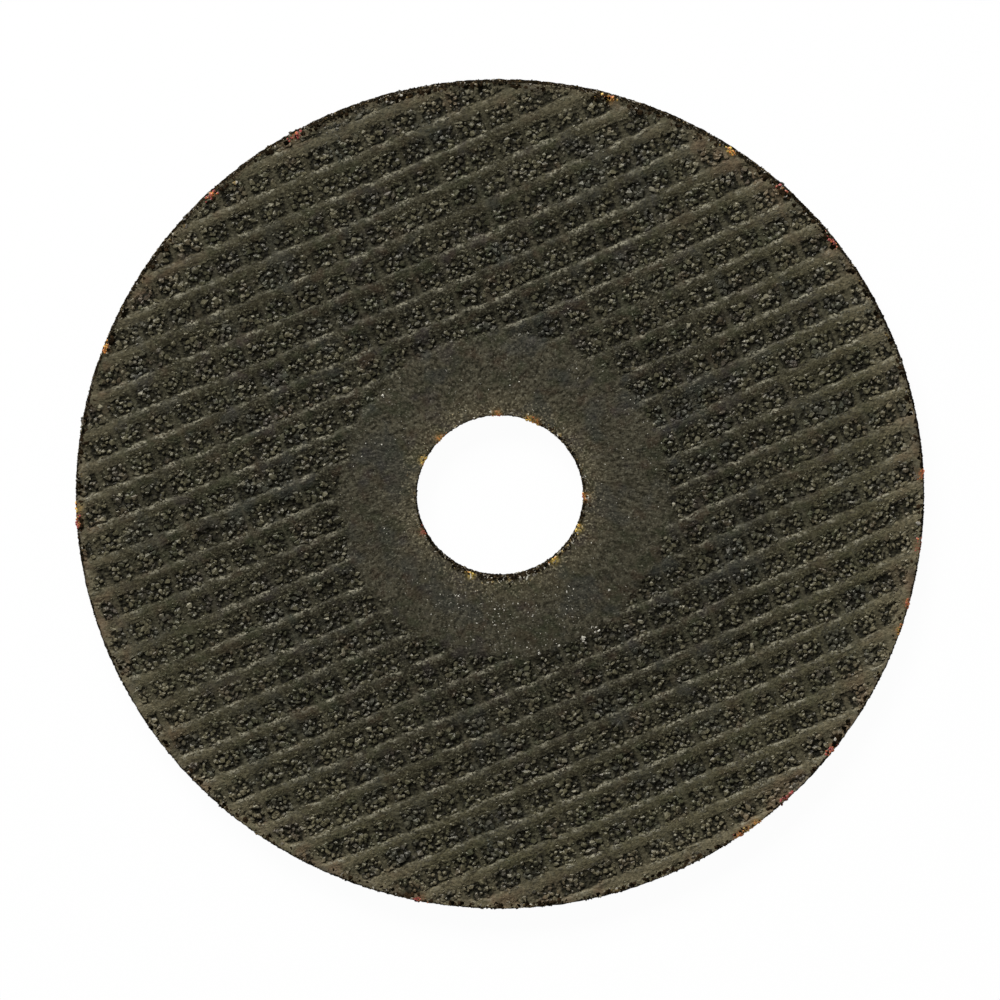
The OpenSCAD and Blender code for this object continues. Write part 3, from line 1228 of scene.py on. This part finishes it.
def hub_colour(f, pattern):
    """Felted resin round the bore, warmer and with pale flecks near it."""
    colour = f.mix(f.band(pattern.felt, 0.36, 0.64), FELT_DARK, FELT_PALE)
    colour = f.mix(f.band(pattern.lumps, 0.45, 0.65) * 0.5, colour, FELT_LUMP)
    colour = f.mix(f.band(pattern.blotch, 0.4, 0.7) * 0.5, colour, FELT_BLOTCH)
    colour = f.mix(f.band(pattern.radius, *WARM_FELT) * 0.22, colour, FELT_WARM)
    colour = tinge(f, pattern.spot, colour, 0.4)
    colour = f.mix(f.band(pattern.fleck, 0.43, 0.3) * 0.7, colour, FELT_DARK_FLECK)
    colour = f.mix(f.band(pattern.fleck, 0.6, 0.74) * 0.6, colour, FELT_PALE_FLECK)
    near_bore = f.band(pattern.fleck, 0.56, 0.66) * f.band(pattern.radius, *BORE_FLECKS)
    return f.mix(near_bore * 0.6, colour, FELT_BORE_FLECK)


def band_colour(f, pattern):
    """Dusty brown resin at the rim."""
    colour = f.mix(f.band(pattern.lumps, 0.35, 0.65), BAND_DARK, BAND_PALE)
    colour = f.mix(f.band(pattern.fleck, 0.42, 0.28) * 0.8, colour, BAND_DARK_FLECK)
    colour = f.mix(f.band(pattern.fleck, 0.58, 0.72) * 0.8, colour, BAND_PALE_FLECK)
    return tinge(f, pattern.spot, dust(f, pattern.spot, colour), 0.5)


def resin_finish():
    """Olive resin: streaky on the yarns, felted round the bore, brown at the rim and painted black as shade
    in the cells.
    """
    f = Finish("pressed_resin")
    pattern = ResinPatterns(f)
    names = ("cell", "hub", "rim", "lip", "wall", "edge", "stain", "stain_hue")
    cell, hub, rim, lip, wall, edge, stain, hue = (f.attribute(name) for name in names)
    colour = f.mix(hub, yarn_colour(f, pattern), hub_colour(f, pattern))
    colour = f.mix(rim * 0.85, colour, band_colour(f, pattern))
    # Painted shade: the cells' floors turn dark where they lie deepest
    shaded_cell_floor = f.mix(f.band(pattern.felt, 0.4, 0.65), CELL_PAINTED_SHADE, CELL_PALE)
    colour = f.mix(f.band(cell, 0.68, 1.0), colour, shaded_cell_floor)
    worn_edge = f.mix(f.band(pattern.fleck, 0.48, 0.64), EDGE_DARK, EDGE_PALE)
    colour = f.mix(f.band(edge + 1.8 * (pattern.felt - 0.5), 0.42, 0.66), colour, worn_edge)
    colour = f.mix(wall, colour, f.mix(f.band(pattern.felt, 0.5, 0.66), WALL_DARK, WALL_PALE))
    colour = f.mix(stain * f.band(pattern.felt, 0.3, 0.6) * 0.5, colour, STAIN_HALO)
    colour = f.mix(stain * stain * f.band(pattern.fleck, 0.35, 0.6) * 0.7, colour, amber(f, hue))
    normal = f.bump(pattern.felt, FELT_DEPTH)
    normal = f.bump(pattern.lumps, LUMP_DEPTH, normal)
    normal = f.bump(pattern.streak, STREAK_DEPTH, normal)
    normal = f.bump(pattern.grit, GRIT_DEPTH, normal)
    normal = f.bump(pattern.fleck * lip, LIP_FLECK_DEPTH, normal)
    normal = f.bump(pattern.granules * cell, GRANULE_DEPTH, normal)
    matt = f.node("ShaderNodeBsdfDiffuse", None, {"Color": colour, "Normal": normal})
    f.surface(f.band(edge.math("MAXIMUM", wall), 0.2, 0.8), f.shine(), matt)
    rough = f.band(cell, 0.3, 0.7) * 0.3 + (0.45 + 0.2 * pattern.felt)
    f.finish(Specular_IOR_Level=RESIN_SHEEN, Specular_Tint=WARM_SHEEN)
    return f.finish(Base_Color=colour, Roughness=rough, Normal=normal)


def cut_grain_finish():
    """Dark grain on the cutting edge and the bore's wall, with a few bare and pale, partly as painted
    glints, or stained.
    """
    f = Finish("cut_grain")
    spot = f.place()
    tone = f.attribute("tone")
    chip = f.noise(spot, CHIP_SIZE, 2.0)
    radius = f.from_middle(spot)
    near_edge = f.band(radius, *STAINED_AT_BORE) + f.band(radius, *STAINED_AT_RIM)
    stained = f.band(f.noise(spot, CUT_STAIN_SIZE, 2.0), 0.46, 0.58) * near_edge
    colour = f.mix(f.band(tone, 0.0, 0.5), CUT_DARK, CUT_BROWN)
    # Painted glints: bare cut grain is pale, unless stained
    colour = f.mix(f.band(tone, 0.6, 0.95), colour, f.mix(stained, CUT_BARE_GLINT, CUT_STAINED))
    f.finish(Specular_IOR_Level=0.0)
    return f.finish(Base_Color=colour, Roughness=0.7 + 0.25 * chip, Normal=f.bump(chip, CUT_CHIP_DEPTH))


def grain_finish():
    """Resin coated grain, painted black as shade in the depth between the yarns, with a few bare and bright.
    """
    f = Finish("coated_grain")
    spot = f.place()
    tone = f.attribute("tone")
    chip = f.noise(spot, CHIP_SIZE, 2.0)
    level = (f.along(spot, "Z") - WHEEL_T / 2).math("ABSOLUTE")
    shadow = [WHEEL_T / 2 - depth for depth in GRAIN_SHADOW]
    colour = f.mix(f.band(tone, 0.0, 0.55), COATED_DARK, COATED_PALE)
    colour = tinge(f, spot, dust(f, spot, colour), 0.5)
    colour = f.mix(f.band(tone, 0.55, 0.9), colour, COATED_BARE)
    colour = f.mix(f.band(chip, 0.55, 0.8) * 0.3, colour, COATED_CHIP)
    # Painted shade: the coated grain turns black the deeper it lies below the face
    colour = f.mix(f.band(level, *shadow), COATED_PAINTED_SHADE, colour)
    f.finish(Specular_IOR_Level=GRAIN_SHEEN, Specular_Tint=WARM_SHEEN)
    return f.finish(Base_Color=colour, Roughness=0.28 + 0.3 * chip, Normal=f.bump(chip, COATED_CHIP_DEPTH))


def amber_finish():
    """Crumbs stained amber to red."""
    f = Finish("amber_glass")
    return f.finish(Base_Color=amber(f, f.attribute("tone")), Roughness=0.45)


def dress(piece, material):
    """Gives a piece its finish and lets it ride on the wheel."""
    piece.data.materials.clear()
    piece.data.materials.append(material)
    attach(piece, BODY)


def make_floor():
    """A plain white floor that keeps a faint shadow."""
    bpy.ops.object.select_all(action="DESELECT")
    bpy.ops.mesh.primitive_plane_add(size=FLOOR_SIZE, location=(0, 0, 0))
    floor = bpy.context.object
    floor.name = "floor"
    f = Finish("white_floor")
    kinds = ("Camera", "Glossy", "Transmission")
    straight, mirrored, refracted = (
        f.node("ShaderNodeLightPath", output=f"Is {kind} Ray") for kind in kinds
    )
    seen = straight.math("MAXIMUM", mirrored).math("MAXIMUM", refracted)
    glow = f.node("ShaderNodeEmission", None, {"Color": WHITE, "Strength": 1.0})
    f.surface(seen * FLOOR_GLOW, f.shine(), glow)
    floor.data.materials.append(f.finish(Base_Color=FLOOR_WHITE, Roughness=FLOOR_ROUGHNESS))


def make_light():
    """A soft key lamp from the picture's top that looks at the wheel."""
    lamp = bpy.data.lights.new("key", "AREA")
    lamp.shape = "RECTANGLE"
    lamp.size, lamp.size_y = KEY_SIZE
    lamp.energy = KEY_POWER
    key = bpy.data.objects.new("key", lamp)
    bpy.context.scene.collection.objects.link(key)
    key.location = KEY_PLACE
    key.rotation_euler = (-Vector(KEY_PLACE)).to_track_quat("-Z", "Y").to_euler()


def make_studio():
    """The key lamp, an even sky and a plain view transform."""
    make_light()
    world = bpy.data.worlds.new("studio")
    world.use_nodes = True
    sky = world.node_tree.nodes["Background"]
    sky.inputs["Color"].default_value = WHITE
    sky.inputs["Strength"].default_value = SKY_STRENGTH
    bpy.context.scene.world = world
    bpy.context.scene.view_settings.view_transform = "Standard"


def make_camera():
    """A long lens nearly straight above, leaning to the picture's top as the outline shows."""
    frame_width = IMAGE_WIDTH / PIXELS_PER_MM * MM
    aim = Vector((0, CAMERA_AIM_Y * MM, WHEEL_T / 2 * MM))
    away = Vector((0, math.sin(CAMERA_LEAN), math.cos(CAMERA_LEAN)))
    camera = bpy.data.objects.new("camera", bpy.data.cameras.new("camera"))
    camera.data.sensor_width = CAMERA_SENSOR
    camera.data.lens = CAMERA_SENSOR * CAMERA_DISTANCE / frame_width
    camera.location = aim + CAMERA_DISTANCE * away
    camera.rotation_euler = (-CAMERA_LEAN, 0, 0)
    bpy.context.scene.collection.objects.link(camera)
    bpy.context.scene.camera = camera


def main():
    """Makes the wheel and its grain, dresses them and sets up the studio."""
    wheel = make_wheel()
    grain = model_grain()
    coarse = make_coarse_grain(grain)
    fine = make_fine_grain(grain)
    coated_grains = [coarse, fine, make_second_face_grain(coarse), make_second_face_grain(fine)]
    cut_grains = [
        make_wall_grain("grain_rim", grain, WHEEL_R, -1, RIM_BARE, Seed.RIM_GRAIN),
        make_wall_grain("grain_bore", grain, BORE_R, 1, BORE_BARE, Seed.BORE_GRAIN),
        make_bore_chips(grain),
        make_rim_chips(grain),
        make_sparkles(grain),
    ]
    crumbs = make_amber_crumbs(grain)
    bpy.data.objects.remove(grain)
    dress(wheel, resin_finish())
    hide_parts(NODE)
    coated = grain_finish()
    for piece in coated_grains:
        dress(piece, coated)
    cut = cut_grain_finish()
    for piece in cut_grains:
        dress(piece, cut)
    dress(crumbs, amber_finish())
    make_floor()
    make_studio()
    make_camera()


main()
